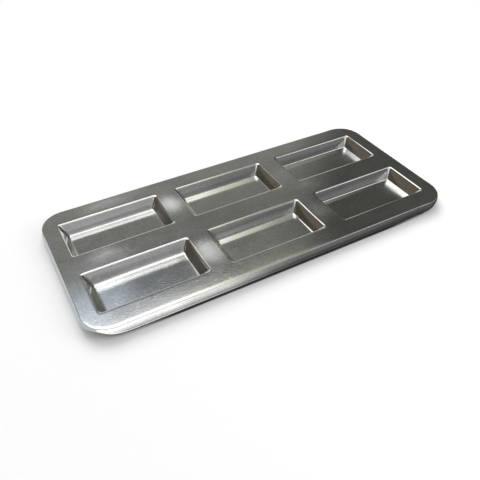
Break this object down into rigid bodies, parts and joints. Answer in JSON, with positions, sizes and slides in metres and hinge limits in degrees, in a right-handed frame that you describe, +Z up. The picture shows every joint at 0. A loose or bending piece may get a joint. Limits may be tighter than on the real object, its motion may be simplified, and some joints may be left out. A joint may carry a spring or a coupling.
{
  "type": "financier pan",
  "caption": "Shallow rectangular baking tray pressed from tinned sheet, with splayed oblong wells for small loaf cakes and a turned-down edge rolled around a wire.",
  "frame": {"origin": "centre of the bounding box in plan, at the level the well bottoms stand on", "axes": "+X along the pan's length, +Y across it from front to back, +Z up with the wells opening upwards"},
  "size_m": [0.3758, 0.171, 0.0118],
  "materials": {
    "tinned_sheet": "satin tinned",
    "tinned_wire": "dull tinned"
  },
  "bodies": {
    "root": {"pressed_tray": "tinned_sheet", "rim_wire": "tinned_wire"}
  },
  "joints": []
}
